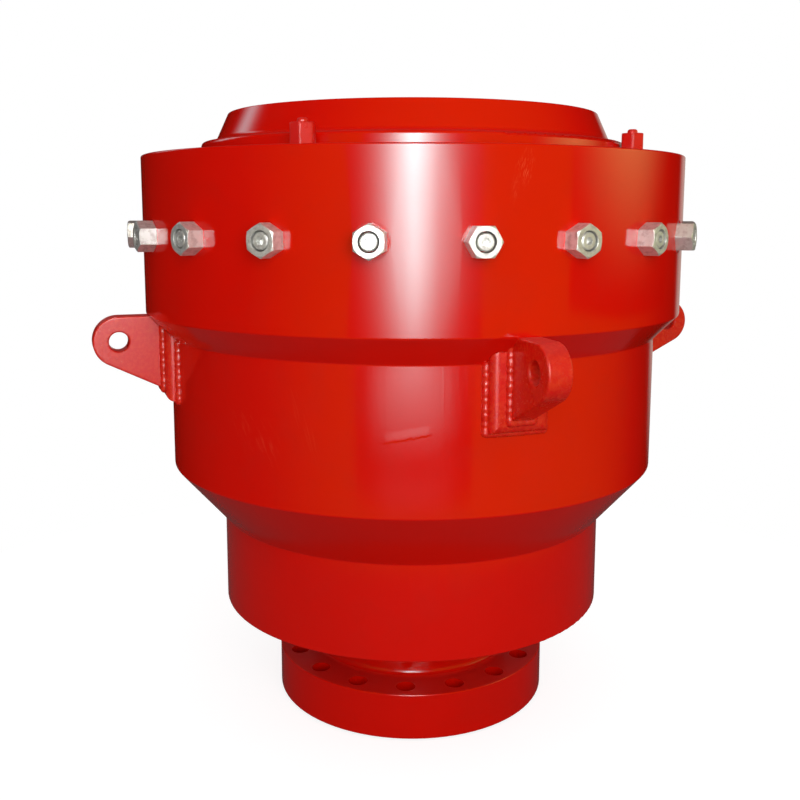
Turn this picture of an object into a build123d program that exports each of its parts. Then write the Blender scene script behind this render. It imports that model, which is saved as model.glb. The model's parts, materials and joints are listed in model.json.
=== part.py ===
from build123d import *
import math
import os

# Annular blowout preventer, 13-5/8 in bore, 5,000 psi class, with a head locked by twenty radial screws.
# Frame: origin at the centre of the bottom flange's raised face, +Z up along the well bore.
# Three of the four lifting lugs stand along +Y, -X and -Y, and the first is 3.6 degrees short of +X.
# All lengths are in millimetres, angles in degrees.

# ---- Driving dimensions ----

# Well bore and end connections
BORE_RADIUS = 173.05
HUB_WALL = 67.45
HUB_FILLET = 16.0
FLANGE_LEDGE = 96.05
FLANGE_THICKNESS = 112.7
FLANGE_EDGE_ROUND = 3.0
BOLT_EDGE_DISTANCE = 41.275
BOLT_COUNT = 16
FLANGE_HOLE_RADIUS = 22.225
TAPPED_HOLE_RADIUS = 19.0
TAPPED_HOLE_DEPTH = 70.0
RING_GROOVE_LAND = 10.99
RING_GROOVE_WIDTH = 19.96
RING_GROOVE_DEPTH = 14.29
RING_GROOVE_WALL_ANGLE = 23.0
RAISED_FACE_MARGIN = 24.6
RAISED_FACE_HEIGHT = 4.7

# Body outside: a neck, three cylinders and the cones between them, from the flange up
NECK_LENGTH = 143.3
LOWER_RADIUS = 468.0
LOWER_LENGTH = 216.0
LOWER_CONE_LENGTH = 136.0
MIDDLE_RADIUS = 587.0
MIDDLE_LENGTH = 307.0
UPPER_CONE_LENGTH = 57.0
UPPER_RADIUS = 643.0
UPPER_LENGTH = 358.0
BODY_CORNER_ROUND = 6.0
BODY_TOP_ROUND = 4.0

# Body inside
CHAMBER_FLOOR_THICKNESS = 74.0
SLEEVE_SOCKET_DEPTH = 30.0
LOWER_WALL = 68.0
PISTON_STEP_RISE = 12.0
HEAD_SEAT_WIDTH = 10.0
HEAD_SEAT_DEPTH = 290.0
SLIDE_CLEARANCE = 0.3

# Head
HEAD_RADIUS = 505.0
HEAD_RING_RISE = 33.0
HEAD_RING_ROUND = 8.0
HEAD_RING_LEDGE = 32.0
HEAD_FOOT_FILLET = 18.0
HEAD_CONE_RISE = 68.0
HEAD_CONE_INSET = 31.0
HEAD_TOP_ROUND = 3.0
HEAD_SKIRT_THICKNESS = 65.0
HEAD_UNDERSIDE_DEPTH = 150.0

# Wear plate, packing unit, piston and inner sleeve
WEAR_PLATE_THICKNESS = 20.0
WEAR_PLATE_EDGE_GAP = 20.0
PACKING_HEIGHT = 310.0
PACKING_BORE_STEP = 2.95
PACKING_EDGE_GAP = 40.0
PACKING_TAPER = 120.0
INSERT_COUNT = 20
INSERT_THICKNESS = 25.0
INSERT_SIDE_GAP = 6.0
INSERT_RIM = 12.0
SLEEVE_WALL = 31.95
PISTON_SKIRT_WALL = 80.0
PISTON_CLOSING_SPACE = 70.0
PISTON_FLANGE_THICKNESS = 100.0
PISTON_GUIDE_LENGTH = 90.0
PISTON_BOWL_GAP = 10.0
PISTON_TOP_GAP = 5.0

# Locking jaws, lock screws and their gland nuts
SCREW_COUNT = 20
SCREW_DEPTH_BELOW_TOP = 178.0
SCREW_RADIUS = 17.0
SCREW_HOLE_CLEARANCE = 0.2
SCREW_END_RECESS = 1.5
SCREW_END_CHAMFER = 2.5
SCREW_SOCKET_ACROSS_FLATS = 15.0
SCREW_SOCKET_DEPTH = 14.0
JAW_HALF_HEIGHT = 34.0
JAW_NOSE_HALF_HEIGHT = 20.0
JAW_REACH = 22.0
JAW_BACK = 34.0
JAW_TRAVEL = 24.0
JAW_SIDE_GAP = 10.0
JAW_SOCKET_DEPTH = 15.0
NUT_ACROSS_FLATS = 58.0
NUT_SCREW_GAP = 3.0
NUT_STAND_OUT = 35.0
NUT_CHAMFER_ANGLE = 30.0
TURNING_MARGIN = 1.0
NUT_TURNS = (50.0, 30.0, 30.0, 30.0, 30.0, 0.0, 28.0, 25.0, 0.0, 12.0)
SPOT_FACE_MARGIN = 2.5
SPOT_FACE_DEPTH = 1.5

# Lifting lugs
LUG_DIRECTIONS = (356.4, 90.0, 180.0, 270.0)
LUG_THICKNESS = 50.0
LUG_EDGE_ROUND = 4.0
LUG_NOSE_RADIUS = 57.0
LUG_EYE_STAND_OUT = 121.0
LUG_EYE_RADIUS = 22.0
LUG_EYE_CHAMFER = 3.0
LUG_FOOT_DROP = 112.0
LUG_PAD_WIDTH = 126.0
LUG_PAD_THICKNESS = 25.0
LUG_PAD_MARGIN = 24.0
LUG_PAD_ROUND = 18.0

# Keeper nuts on the body's top face
KEEPER_FIRST_DIRECTION = 46.0
KEEPER_TURNS = (36.0, 18.0, 16.0, 44.0)
KEEPER_ACROSS_FLATS = 46.0
KEEPER_HEAD_GAP = 1.4
KEEPER_NUT_HEIGHT = 48.0
KEEPER_STUD_RADIUS = 11.0
KEEPER_STUD_TIP = 9.0
KEEPER_STUD_DEPTH = 45.0
KEEPER_CLEARANCE = 0.2

# Hydraulic port plugs
PORT_DIRECTION = 135.0
PORT_RADIUS = 24.0
OPENING_PORT_RISE = 60.0
PLUG_CLEARANCE = 0.2
PLUG_TIP_GAP = 20.0
PLUG_ACROSS_FLATS = 60.0
PLUG_HEAD_HEIGHT = 24.0
PORT_SPOT_FACE_MARGIN = 5.0
PORT_SPOT_FACE_DEPTH = 3.0

# ---- Places and sizes that follow from them ----

HUB_RADIUS = BORE_RADIUS + HUB_WALL
FLANGE_RADIUS = HUB_RADIUS + FLANGE_LEDGE
BOLT_CIRCLE_RADIUS = FLANGE_RADIUS - BOLT_EDGE_DISTANCE
RING_GROOVE_RADIUS = BORE_RADIUS + RING_GROOVE_LAND + RING_GROOVE_WIDTH
RAISED_FACE_RADIUS = RING_GROOVE_RADIUS + RAISED_FACE_MARGIN

LOWER_BOTTOM = FLANGE_THICKNESS + NECK_LENGTH
LOWER_TOP = LOWER_BOTTOM + LOWER_LENGTH
MIDDLE_BOTTOM = LOWER_TOP + LOWER_CONE_LENGTH
MIDDLE_TOP = MIDDLE_BOTTOM + MIDDLE_LENGTH
UPPER_BOTTOM = MIDDLE_TOP + UPPER_CONE_LENGTH
BODY_TOP = UPPER_BOTTOM + UPPER_LENGTH

CHAMBER_FLOOR = LOWER_BOTTOM + CHAMBER_FLOOR_THICKNESS
SLEEVE_SEAT = CHAMBER_FLOOR - SLEEVE_SOCKET_DEPTH
PISTON_STEP = MIDDLE_BOTTOM + PISTON_STEP_RISE
HEAD_SEAT = BODY_TOP - HEAD_SEAT_DEPTH
LOWER_CHAMBER_RADIUS = LOWER_RADIUS - LOWER_WALL
UPPER_CHAMBER_RADIUS = HEAD_RADIUS - HEAD_SEAT_WIDTH

HEAD_RING_TOP = BODY_TOP + HEAD_RING_RISE
HEAD_TOP = HEAD_RING_TOP + HEAD_CONE_RISE
HEAD_CONE_FOOT_RADIUS = HEAD_RADIUS - HEAD_RING_LEDGE
HEAD_TOP_RADIUS = HEAD_CONE_FOOT_RADIUS - HEAD_CONE_INSET
HEAD_SKIRT_INNER_RADIUS = HEAD_RADIUS - HEAD_SKIRT_THICKNESS
HEAD_UNDERSIDE = BODY_TOP - HEAD_UNDERSIDE_DEPTH

WEAR_PLATE_BOTTOM = HEAD_UNDERSIDE - WEAR_PLATE_THICKNESS
WEAR_PLATE_RADIUS = HEAD_SKIRT_INNER_RADIUS - WEAR_PLATE_EDGE_GAP
PACKING_BOTTOM = WEAR_PLATE_BOTTOM - PACKING_HEIGHT
PACKING_INNER_RADIUS = BORE_RADIUS + PACKING_BORE_STEP
PACKING_TOP_RADIUS = HEAD_SKIRT_INNER_RADIUS - PACKING_EDGE_GAP
PACKING_BOTTOM_RADIUS = PACKING_TOP_RADIUS - PACKING_TAPER
SLEEVE_RADIUS = BORE_RADIUS + SLEEVE_WALL
SLEEVE_BORE_RADIUS = SLEEVE_RADIUS + SLIDE_CLEARANCE
PISTON_FLANGE_BOTTOM = PISTON_STEP + PISTON_CLOSING_SPACE
PISTON_FLANGE_TOP = PISTON_FLANGE_BOTTOM + PISTON_FLANGE_THICKNESS

SCREW_STEP = 360 / SCREW_COUNT
SCREW_HEIGHT = BODY_TOP - SCREW_DEPTH_BELOW_TOP
SPOT_FACE_REACH = UPPER_RADIUS - SPOT_FACE_DEPTH
NUT_FACE_REACH = UPPER_RADIUS + NUT_STAND_OUT
JAW_NOSE_RADIUS = HEAD_RADIUS - JAW_REACH
JAW_BACK_RADIUS = HEAD_RADIUS + JAW_BACK

LUG_EYE_REACH = MIDDLE_RADIUS + LUG_EYE_STAND_OUT
LUG_EYE_HEIGHT = UPPER_BOTTOM - LUG_NOSE_RADIUS
LUG_PAD_REACH = MIDDLE_RADIUS + LUG_PAD_THICKNESS
LUG_PAD_BOTTOM = LUG_EYE_HEIGHT - LUG_FOOT_DROP - LUG_PAD_MARGIN

HEX_CORNER = 1 / math.cos(math.radians(30))
KEEPER_CIRCLE_RADIUS = HEAD_RADIUS + KEEPER_HEAD_GAP + KEEPER_ACROSS_FLATS / 2 * HEX_CORNER

PORT_FACE_REACH = MIDDLE_RADIUS - PORT_SPOT_FACE_DEPTH
CLOSING_PORT_HEIGHT = (PISTON_STEP + PISTON_FLANGE_BOTTOM) / 2
OPENING_PORT_HEIGHT = PISTON_FLANGE_TOP + OPENING_PORT_RISE


def revolved(outline, rounds=None):
    """A solid of revolution about Z from (radius, height) corners, each with its own round."""
    rounds = rounds or [0.0] * len(outline)
    edge = FilletPolyline(*outline, radius=rounds, close=True)
    face = make_face(Plane.XZ * edge)
    return revolve(face, Axis.Z)


def ring(inner, outer, bottom, top):
    """A plain tube about Z."""
    return revolved([(inner, bottom), (outer, bottom), (outer, top), (inner, top)])


def radial(direction, reach, height):
    """A plane at a place on the outside whose normal points away from the well bore."""
    angle = math.radians(direction)
    outward = (math.cos(angle), math.sin(angle), 0)
    origin = (reach * math.cos(angle), reach * math.sin(angle), height)
    return Plane(origin=origin, x_dir=(-math.sin(angle), math.cos(angle), 0), z_dir=outward)


def around(count, first=0.0):
    """Directions of equally spaced features, counted anticlockwise from +X."""
    return [first + 360 * index / count for index in range(count)]


def rod(radius, start, end):
    """A cylinder along local Z between two heights."""
    return Pos(0, 0, start) * Cylinder(radius, end - start, align=(Align.CENTER, Align.CENTER, Align.MIN))


def on_circle(direction, radius, height, shape):
    """A shape moved out to a circle about Z and turned to a direction."""
    return Rot(0, 0, direction) * Pos(radius, 0, height) * shape


def sector(block, count, side_gap, reach):
    """One of several equal shares of a ring along +X, with parallel gaps to its neighbours."""
    half = math.radians(180 / count)
    apex = side_gap / 2 / math.sin(half)
    far = reach * 2
    corners = [
        (apex, 0),
        (apex + far * math.cos(half), -far * math.sin(half)),
        (apex + far * math.cos(half), far * math.sin(half)),
    ]
    box = block.bounding_box()
    wedge = extrude(make_face(Polyline(*corners, close=True)), box.size.Z)
    return block & Pos(0, 0, box.min.Z) * wedge


def hexagon_nut(across_flats, height, turn):
    """A hexagonal prism on local Z = 0 whose top corners are turned down to the across-flats circle."""
    corner = across_flats / 2 * HEX_CORNER
    slope = math.tan(math.radians(NUT_CHAMFER_ANGLE))
    wide = corner + TURNING_MARGIN
    shoulder = height - (wide - across_flats / 2) * slope
    prism = extrude(Rot(0, 0, turn) * RegularPolygon(corner, 6), height)
    turned = revolved([(0, 0), (wide, 0), (wide, shoulder), (across_flats / 2, height), (0, height)])
    return prism & turned


def ring_groove(face_height, upward):
    """The cutter of a ring-gasket groove in a face that looks up or down."""
    floor = face_height + (-RING_GROOVE_DEPTH if upward else RING_GROOVE_DEPTH)
    taper = RING_GROOVE_DEPTH * math.tan(math.radians(RING_GROOVE_WALL_ANGLE)) / 2
    inner = RING_GROOVE_RADIUS - RING_GROOVE_WIDTH
    outer = RING_GROOVE_RADIUS
    mouth = [(inner, face_height), (outer, face_height)]
    return revolved(mouth + [(outer - taper, floor), (inner + taper, floor)])


def body_envelope():
    """The body's outside, without its cavity."""
    corner = BODY_CORNER_ROUND
    edge = FLANGE_EDGE_ROUND
    outline = [
        (0, 0),
        (RAISED_FACE_RADIUS, 0),
        (RAISED_FACE_RADIUS, RAISED_FACE_HEIGHT),
        (FLANGE_RADIUS, RAISED_FACE_HEIGHT),
        (FLANGE_RADIUS, FLANGE_THICKNESS),
        (HUB_RADIUS, FLANGE_THICKNESS),
        (HUB_RADIUS, LOWER_BOTTOM),
        (LOWER_RADIUS, LOWER_BOTTOM),
        (LOWER_RADIUS, LOWER_TOP),
        (MIDDLE_RADIUS, MIDDLE_BOTTOM),
        (MIDDLE_RADIUS, MIDDLE_TOP),
        (UPPER_RADIUS, UPPER_BOTTOM),
        (UPPER_RADIUS, BODY_TOP),
        (0, BODY_TOP),
    ]
    rounds = [0, 0, 0, edge, edge, HUB_FILLET, HUB_FILLET, edge]
    rounds += [corner, corner, corner, corner, BODY_TOP_ROUND, 0]
    return revolved(outline, rounds)


def body_cavity():
    """The well bore, sleeve socket, piston chambers and head bore as one stepped void."""
    head_bore = HEAD_RADIUS + SLIDE_CLEARANCE
    outline = [
        (0, 0),
        (BORE_RADIUS, 0),
        (BORE_RADIUS, SLEEVE_SEAT),
        (SLEEVE_BORE_RADIUS, SLEEVE_SEAT),
        (SLEEVE_BORE_RADIUS, CHAMBER_FLOOR),
        (LOWER_CHAMBER_RADIUS, CHAMBER_FLOOR),
        (LOWER_CHAMBER_RADIUS, PISTON_STEP),
        (UPPER_CHAMBER_RADIUS, PISTON_STEP),
        (UPPER_CHAMBER_RADIUS, HEAD_SEAT),
        (head_bore, HEAD_SEAT),
        (head_bore, BODY_TOP),
        (0, BODY_TOP),
    ]
    return revolved(outline)


def jaw_recess():
    """The groove in the body's wall that the locking jaws draw back into."""
    half = JAW_HALF_HEIGHT + SLIDE_CLEARANCE
    return ring(HEAD_RADIUS, JAW_BACK_RADIUS + JAW_TRAVEL, SCREW_HEIGHT - half, SCREW_HEIGHT + half)


def make_body(envelope):
    """The one-piece body: cavity, flange holes, jaw recess, screw holes, keeper holes and ports."""
    cutters = [body_cavity(), jaw_recess(), ring_groove(0, upward=False)]
    flange_hole = rod(FLANGE_HOLE_RADIUS, 0, FLANGE_THICKNESS)
    for direction in around(BOLT_COUNT):
        cutters.append(on_circle(direction, BOLT_CIRCLE_RADIUS, 0, flange_hole))
    spot_radius = NUT_ACROSS_FLATS / 2 * HEX_CORNER + SPOT_FACE_MARGIN
    screw_hole = rod(SCREW_RADIUS + SCREW_HOLE_CLEARANCE, JAW_BACK_RADIUS - SPOT_FACE_REACH, 0)
    screw_hole += rod(spot_radius, 0, NUT_STAND_OUT)
    for direction in around(SCREW_COUNT, SCREW_STEP / 2):
        cutters.append(radial(direction, SPOT_FACE_REACH, SCREW_HEIGHT) * screw_hole)
    keeper_hole = rod(KEEPER_STUD_RADIUS + KEEPER_CLEARANCE, -KEEPER_STUD_DEPTH, 0)
    for direction in around(len(KEEPER_TURNS), KEEPER_FIRST_DIRECTION):
        cutters.append(on_circle(direction, KEEPER_CIRCLE_RADIUS, BODY_TOP, keeper_hole))
    port_spot_radius = PLUG_ACROSS_FLATS / 2 * HEX_CORNER + PORT_SPOT_FACE_MARGIN
    port = rod(PORT_RADIUS, UPPER_CHAMBER_RADIUS - PLUG_TIP_GAP - PORT_FACE_REACH, 0)
    port += rod(port_spot_radius, 0, PLUG_HEAD_HEIGHT)
    for height in (CLOSING_PORT_HEIGHT, OPENING_PORT_HEIGHT):
        cutters.append(radial(PORT_DIRECTION, PORT_FACE_REACH, height) * port)
    return envelope - cutters


def make_head():
    """The head: cone, ring, lock groove, skirt and the studded connection on top."""
    nose_half = JAW_NOSE_HALF_HEIGHT + SLIDE_CLEARANCE
    half = JAW_HALF_HEIGHT + SLIDE_CLEARANCE
    outline = [
        (BORE_RADIUS, HEAD_UNDERSIDE),
        (HEAD_SKIRT_INNER_RADIUS, HEAD_UNDERSIDE),
        (HEAD_SKIRT_INNER_RADIUS, HEAD_SEAT),
        (HEAD_RADIUS, HEAD_SEAT),
        (HEAD_RADIUS, SCREW_HEIGHT - half),
        (JAW_NOSE_RADIUS, SCREW_HEIGHT - nose_half),
        (JAW_NOSE_RADIUS, SCREW_HEIGHT + nose_half),
        (HEAD_RADIUS, SCREW_HEIGHT + half),
        (HEAD_RADIUS, HEAD_RING_TOP),
        (HEAD_CONE_FOOT_RADIUS, HEAD_RING_TOP),
        (HEAD_TOP_RADIUS, HEAD_TOP),
        (BORE_RADIUS, HEAD_TOP),
    ]
    rounds = [0, 0, 0, 0, 0, 0, 0, 0, HEAD_RING_ROUND, HEAD_FOOT_FILLET, HEAD_TOP_ROUND, 0]
    cutters = [ring_groove(HEAD_TOP, upward=True)]
    tapped_hole = rod(TAPPED_HOLE_RADIUS, -TAPPED_HOLE_DEPTH, 0)
    for direction in around(BOLT_COUNT):
        cutters.append(on_circle(direction, BOLT_CIRCLE_RADIUS, HEAD_TOP, tapped_hole))
    return revolved(outline, rounds) - cutters


def make_locking_jaw():
    """One jaw along +X: its tapered nose stands in the head's groove, and its back takes the screw's tip."""
    outline = [
        (JAW_NOSE_RADIUS + SLIDE_CLEARANCE, SCREW_HEIGHT - JAW_NOSE_HALF_HEIGHT),
        (HEAD_RADIUS, SCREW_HEIGHT - JAW_HALF_HEIGHT),
        (JAW_BACK_RADIUS, SCREW_HEIGHT - JAW_HALF_HEIGHT),
        (JAW_BACK_RADIUS, SCREW_HEIGHT + JAW_HALF_HEIGHT),
        (HEAD_RADIUS, SCREW_HEIGHT + JAW_HALF_HEIGHT),
        (JAW_NOSE_RADIUS + SLIDE_CLEARANCE, SCREW_HEIGHT + JAW_NOSE_HALF_HEIGHT),
    ]
    jaw = sector(revolved(outline), SCREW_COUNT, JAW_SIDE_GAP, JAW_BACK_RADIUS)
    socket = rod(SCREW_RADIUS + SCREW_HOLE_CLEARANCE, -JAW_SOCKET_DEPTH, JAW_SOCKET_DEPTH)
    return jaw - radial(0, JAW_BACK_RADIUS, SCREW_HEIGHT) * socket


def make_packing_inserts():
    """Top and bottom steel plates of the packing unit, flush with its faces and its bore."""
    outer_top = PACKING_TOP_RADIUS - INSERT_RIM * 2
    outer_bottom = PACKING_BOTTOM_RADIUS - INSERT_RIM
    top = ring(PACKING_INNER_RADIUS, outer_top, WEAR_PLATE_BOTTOM - INSERT_THICKNESS, WEAR_PLATE_BOTTOM)
    bottom = ring(PACKING_INNER_RADIUS, outer_bottom, PACKING_BOTTOM, PACKING_BOTTOM + INSERT_THICKNESS)
    plates = [sector(block, INSERT_COUNT, INSERT_SIDE_GAP, outer_top) for block in (top, bottom)]
    return [Rot(0, 0, direction) * plate for direction in around(INSERT_COUNT) for plate in plates]


def make_packing_rubber():
    """The moulded rubber of the packing unit, stepped in where the steel plates lie."""
    outline = [
        (PACKING_INNER_RADIUS, PACKING_BOTTOM + INSERT_THICKNESS),
        (PACKING_BOTTOM_RADIUS - INSERT_RIM, PACKING_BOTTOM + INSERT_THICKNESS),
        (PACKING_BOTTOM_RADIUS - INSERT_RIM, PACKING_BOTTOM),
        (PACKING_BOTTOM_RADIUS, PACKING_BOTTOM),
        (PACKING_TOP_RADIUS, WEAR_PLATE_BOTTOM),
        (PACKING_TOP_RADIUS - INSERT_RIM * 2, WEAR_PLATE_BOTTOM),
        (PACKING_TOP_RADIUS - INSERT_RIM * 2, WEAR_PLATE_BOTTOM - INSERT_THICKNESS),
        (PACKING_INNER_RADIUS, WEAR_PLATE_BOTTOM - INSERT_THICKNESS),
    ]
    return revolved(outline)


def packing_radius(height):
    """Outer radius of the packing unit's cone at a height."""
    return PACKING_BOTTOM_RADIUS + PACKING_TAPER * (height - PACKING_BOTTOM) / PACKING_HEIGHT


def make_piston():
    """The piston in its lowest place, open at the top in a bowl that matches the packing unit's cone."""
    skirt = LOWER_CHAMBER_RADIUS - SLIDE_CLEARANCE
    skirt_inner = LOWER_CHAMBER_RADIUS - PISTON_SKIRT_WALL
    flange = UPPER_CHAMBER_RADIUS - SLIDE_CLEARANCE
    bowl = HEAD_SKIRT_INNER_RADIUS - PISTON_BOWL_GAP
    top = HEAD_SEAT - PISTON_TOP_GAP
    ledge = PACKING_BOTTOM - SLIDE_CLEARANCE
    outline = [
        (SLEEVE_BORE_RADIUS, ledge - PISTON_GUIDE_LENGTH),
        (skirt_inner, ledge - PISTON_GUIDE_LENGTH),
        (skirt_inner, CHAMBER_FLOOR),
        (skirt, CHAMBER_FLOOR),
        (skirt, PISTON_FLANGE_BOTTOM),
        (flange, PISTON_FLANGE_BOTTOM),
        (flange, PISTON_FLANGE_TOP),
        (bowl, PISTON_FLANGE_TOP),
        (bowl, top),
        (packing_radius(top) + SLIDE_CLEARANCE, top),
        (packing_radius(ledge) + SLIDE_CLEARANCE, ledge),
        (SLEEVE_BORE_RADIUS, ledge),
    ]
    return revolved(outline)


def make_gland_nut(direction, turn):
    """A chamfered hexagonal gland nut on its spot face, with room round the screw's end."""
    height = NUT_FACE_REACH - SPOT_FACE_REACH
    nut = hexagon_nut(NUT_ACROSS_FLATS, height, turn)
    nut -= rod(SCREW_RADIUS + NUT_SCREW_GAP, 0, height)
    return radial(direction, SPOT_FACE_REACH, SCREW_HEIGHT) * nut


def make_operating_screw(direction):
    """A lock screw from the socket in its jaw out to its chamfered end with the wrench socket."""
    start = JAW_BACK_RADIUS - JAW_SOCKET_DEPTH + SLIDE_CLEARANCE
    length = NUT_FACE_REACH - SCREW_END_RECESS - start
    socket = extrude(RegularPolygon(SCREW_SOCKET_ACROSS_FLATS / 2, 6, major_radius=False), SCREW_SOCKET_DEPTH)
    screw = rod(SCREW_RADIUS, 0, length)
    screw = chamfer(screw.edges().group_by(Axis.Z)[-1], SCREW_END_CHAMFER)
    screw -= Pos(0, 0, length - SCREW_SOCKET_DEPTH) * socket
    return radial(direction, start, SCREW_HEIGHT) * screw


def lug_plate():
    """The lug's plate along +X: flat crown, round nose, and a lower edge that runs back to the pad."""
    nose = Vector(LUG_EYE_REACH, LUG_EYE_HEIGHT)
    foot = Vector(LUG_PAD_REACH, LUG_EYE_HEIGHT - LUG_FOOT_DROP)
    to_foot = foot - nose
    touch_angle = math.atan2(to_foot.Y, to_foot.X) + math.acos(LUG_NOSE_RADIUS / to_foot.length)
    middle_angle = (touch_angle + math.pi / 2) / 2
    crown = nose + Vector(0, LUG_NOSE_RADIUS)
    tip = nose + LUG_NOSE_RADIUS * Vector(math.cos(middle_angle), math.sin(middle_angle))
    touch = nose + LUG_NOSE_RADIUS * Vector(math.cos(touch_angle), math.sin(touch_angle))
    root = UPPER_CHAMBER_RADIUS
    back = Polyline(touch, foot, (root, foot.Y), (root, crown.Y), crown)
    outline = Curve() + [ThreePointArc(crown, tip, touch), back]
    plate = extrude(make_face(Plane.XZ * outline), LUG_THICKNESS / 2, both=True)
    sides = [
        edge
        for edge in plate.edges().filter_by(Plane.XZ)
        if edge.bounding_box().max.X > LUG_PAD_REACH + LUG_EDGE_ROUND
    ]
    plate = fillet(sides, LUG_EDGE_ROUND)
    plate -= Pos(nose.X, 0, nose.Y) * Rot(90, 0, 0) * Cylinder(LUG_EYE_RADIUS, LUG_THICKNESS)
    rims = [
        edge
        for edge in plate.edges().filter_by(GeomType.CIRCLE)
        if math.isclose(edge.radius, LUG_EYE_RADIUS)
    ]
    return chamfer(rims, LUG_EYE_CHAMFER)


def lug_pad():
    """The pad behind the plate, rounded on its sides and foot down to the body."""
    root = UPPER_CHAMBER_RADIUS
    height = LUG_EYE_HEIGHT + LUG_NOSE_RADIUS - LUG_PAD_BOTTOM
    size = (LUG_PAD_REACH - root, LUG_PAD_WIDTH, height)
    pad = Pos(root, 0, LUG_PAD_BOTTOM) * Box(*size, align=(Align.MIN, Align.CENTER, Align.MIN))
    face = pad.faces().sort_by(Axis.X)[-1]
    return fillet(face.edges().sort_by(Axis.Z)[:-1], LUG_PAD_ROUND)


def make_keeper_nut(direction, turn):
    """A tall hexagonal nut on the body's top face, beside the head."""
    nut = hexagon_nut(KEEPER_ACROSS_FLATS, KEEPER_NUT_HEIGHT, turn)
    nut -= rod(KEEPER_STUD_RADIUS + KEEPER_CLEARANCE, 0, KEEPER_NUT_HEIGHT)
    return on_circle(direction, KEEPER_CIRCLE_RADIUS, BODY_TOP, nut)


def make_keeper_stud(direction):
    """The stud of one keeper nut, from its blind hole to its rounded tip."""
    stud = rod(KEEPER_STUD_RADIUS, -KEEPER_STUD_DEPTH, KEEPER_NUT_HEIGHT + KEEPER_STUD_TIP)
    stud = fillet(stud.edges().group_by(Axis.Z)[-1], KEEPER_STUD_RADIUS / 2)
    return on_circle(direction, KEEPER_CIRCLE_RADIUS, BODY_TOP, stud)


def make_port_plug(height):
    """A hexagon-headed plug in a hydraulic port."""
    length = PORT_FACE_REACH - UPPER_CHAMBER_RADIUS - PLUG_TIP_GAP
    plug = rod(PORT_RADIUS - PLUG_CLEARANCE, -length, 0) + hexagon_nut(PLUG_ACROSS_FLATS, PLUG_HEAD_HEIGHT, 0)
    return radial(PORT_DIRECTION, PORT_FACE_REACH, height) * plug


def make_parts():
    """Every node's shape by name."""
    envelope = body_envelope()
    screw_directions = around(SCREW_COUNT, SCREW_STEP / 2)
    keeper_directions = around(len(KEEPER_TURNS), KEEPER_FIRST_DIRECTION)
    jaw = make_locking_jaw()
    lug = lug_plate() + lug_pad() - envelope
    parts = {
        "body": make_body(envelope),
        "head": make_head(),
        "wear_plate": ring(BORE_RADIUS, WEAR_PLATE_RADIUS, WEAR_PLATE_BOTTOM, HEAD_UNDERSIDE),
        "packing_rubber": make_packing_rubber(),
        "packing_inserts": Compound(make_packing_inserts()),
        "piston": make_piston(),
        "inner_sleeve": ring(BORE_RADIUS, SLEEVE_RADIUS, SLEEVE_SEAT, PACKING_BOTTOM),
        "locking_jaws": Compound([Rot(0, 0, direction) * jaw for direction in screw_directions]),
        "operating_screws": Compound([make_operating_screw(direction) for direction in screw_directions]),
        "keeper_studs": Compound([make_keeper_stud(direction) for direction in keeper_directions]),
        "closing_port_plug": make_port_plug(CLOSING_PORT_HEIGHT),
        "opening_port_plug": make_port_plug(OPENING_PORT_HEIGHT),
    }
    for index, direction in enumerate(screw_directions, 1):
        parts[f"gland_nut_{index:02d}"] = make_gland_nut(direction, NUT_TURNS[index % len(NUT_TURNS)])
    for index, (direction, turn) in enumerate(zip(keeper_directions, KEEPER_TURNS), 1):
        parts[f"keeper_nut_{index}"] = make_keeper_nut(direction, turn)
    for index, direction in enumerate(LUG_DIRECTIONS, 1):
        parts[f"lifting_lug_{index}"] = Rot(0, 0, direction) * lug
    return parts


os.makedirs("parts", exist_ok=True)
for name, shape in make_parts().items():
    export_step(shape, f"parts/{name}.step")
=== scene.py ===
"""An annular blowout preventer: its paint, bare steel, welds, threads and studio, in metres with +Z up."""
import json
import logging
import math
from dataclasses import asdict, dataclass, field
from enum import Enum
from functools import cached_property

import bpy
from bpy.types import Material, Node, NodeSocket, NodeTree, Object, World
from mathutils import Euler, Matrix, Vector


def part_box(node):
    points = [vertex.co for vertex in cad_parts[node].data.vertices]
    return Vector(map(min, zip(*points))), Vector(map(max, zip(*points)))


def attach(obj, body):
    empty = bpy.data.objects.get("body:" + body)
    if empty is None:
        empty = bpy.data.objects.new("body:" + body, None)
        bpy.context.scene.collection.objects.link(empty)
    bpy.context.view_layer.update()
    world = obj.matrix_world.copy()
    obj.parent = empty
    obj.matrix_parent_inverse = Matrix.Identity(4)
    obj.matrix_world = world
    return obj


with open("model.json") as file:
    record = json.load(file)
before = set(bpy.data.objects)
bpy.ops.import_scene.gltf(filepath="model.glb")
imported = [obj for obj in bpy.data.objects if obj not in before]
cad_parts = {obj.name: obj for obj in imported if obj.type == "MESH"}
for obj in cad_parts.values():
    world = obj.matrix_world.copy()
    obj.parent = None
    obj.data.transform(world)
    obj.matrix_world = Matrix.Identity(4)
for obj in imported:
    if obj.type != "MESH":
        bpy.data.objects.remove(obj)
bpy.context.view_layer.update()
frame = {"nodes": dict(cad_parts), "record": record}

ROOT = "root"
BEVEL_SAMPLES = 4
log = logging.getLogger("preventer")

Value = float | NodeSocket
Colour = tuple[float, float, float]
Step = tuple[float, float, float]
WHITE: Colour = (1.0, 1.0, 1.0)


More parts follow.
